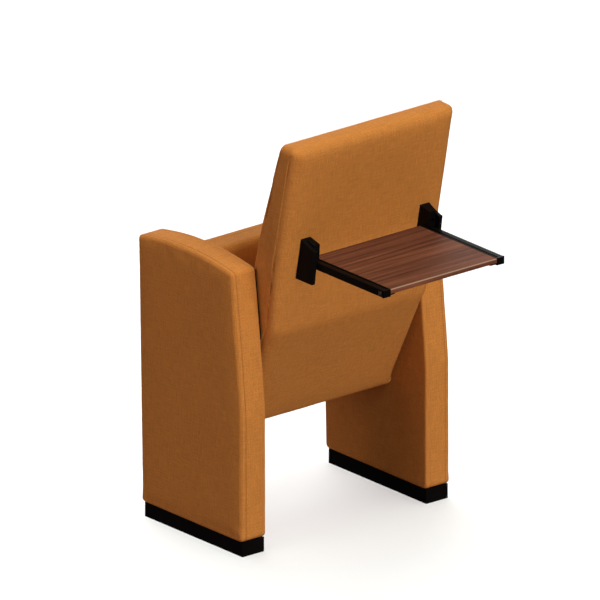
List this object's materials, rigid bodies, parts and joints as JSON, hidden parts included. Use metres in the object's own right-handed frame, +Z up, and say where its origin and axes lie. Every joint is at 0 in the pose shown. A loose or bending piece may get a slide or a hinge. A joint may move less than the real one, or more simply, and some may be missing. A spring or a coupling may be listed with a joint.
{
  "type": "auditorium chair with folding writing tablet",
  "caption": "Upholstered tip-up lecture hall chair on padded side panels, with a folding wooden writing tablet on the back for the person behind.",
  "frame": {"origin": "floor level, at the centre of the four floor bolts, midway between the side panels", "axes": "+X to the chair's left, +Y to its rear where the tablet is, +Z up; a sitter faces -Y"},
  "size_m": [0.595, 0.6983, 0.9699],
  "materials": {
    "panel_fabric": "matte",
    "back_fabric": "matte",
    "seat_fabric": "matte",
    "plywood": "matte",
    "veneer": "satin",
    "arm_aluminium": "satin",
    "black_paint": "satin",
    "foot_paint": "satin",
    "plinth_plastic": "satin",
    "cap_plastic": "satin",
    "bush_plastic": "satin",
    "rubber": "matte",
    "zinc_steel": "satin"
  },
  "bodies": {
    "chair": {"angle_screws": "zinc_steel", "back_board": "plywood", "back_cushion": "back_fabric", "back_inserts": "zinc_steel", "back_rear_pad": "back_fabric", "bracket_bolts": "zinc_steel", "left_back_angle": "zinc_steel", "left_back_spacers": "zinc_steel", "left_core_board": "plywood", "left_core_inserts": "zinc_steel", "left_edge_foam": "panel_fabric", "left_foot": "foot_paint", "left_hanger_bolts": "zinc_steel", "left_hinge_pin": "zinc_steel", "left_inner_pad": "panel_fabric", "left_outer_pad": "panel_fabric", "left_panel_bolts": "zinc_steel", "left_pivot_plate": "zinc_steel", "left_plinth": "plinth_plastic", "left_stop_sleeves": "rubber", "left_stop_studs": "zinc_steel", "left_tablet_bracket": "black_paint", "right_back_angle": "zinc_steel", "right_back_spacers": "zinc_steel", "right_core_board": "plywood", "right_core_inserts": "zinc_steel", "right_edge_foam": "panel_fabric", "right_foot": "foot_paint", "right_hanger_bolts": "zinc_steel", "right_hinge_pin": "zinc_steel", "right_inner_pad": "panel_fabric", "right_outer_pad": "panel_fabric", "right_panel_bolts": "zinc_steel", "right_pivot_plate": "zinc_steel", "right_plinth": "plinth_plastic", "right_stop_sleeves": "rubber", "right_stop_studs": "zinc_steel", "right_tablet_bracket": "black_paint"},
    "seat": {"seat_cushion": "seat_fabric", "seat_pan": "plywood", "seat_underside": "seat_fabric", "seat_screws": "zinc_steel", "left_hinge_plate": "zinc_steel", "right_hinge_plate": "zinc_steel", "left_hinge_bush": "bush_plastic", "right_hinge_bush": "bush_plastic", "left_return_spring": "zinc_steel", "right_return_spring": "zinc_steel"},
    "tablet": {"tablet_board": "veneer", "tablet_screws": "zinc_steel", "tablet_buffers": "rubber", "left_tablet_arm": "arm_aluminium", "right_tablet_arm": "arm_aluminium", "left_arm_cap": "cap_plastic", "right_arm_cap": "cap_plastic", "left_arm_bush": "bush_plastic", "right_arm_bush": "bush_plastic", "left_friction_washer": "bush_plastic", "right_friction_washer": "bush_plastic"}
  },
  "joints": [
    {"name": "seat_tip", "type": "hinge", "parent": "chair", "child": "seat", "pos_m": [0, -0.048, 0.362], "axis": [1, 0, 0], "range_deg": [0, 83], "stiffness_Nm_per_rad": 4, "springref_deg": -28.65},
    {"name": "tablet_fold", "type": "hinge", "parent": "chair", "child": "tablet", "pos_m": [0, 0.25, 0.68675], "axis": [-1, 0, 0], "range_deg": [0, 100]}
  ]
}
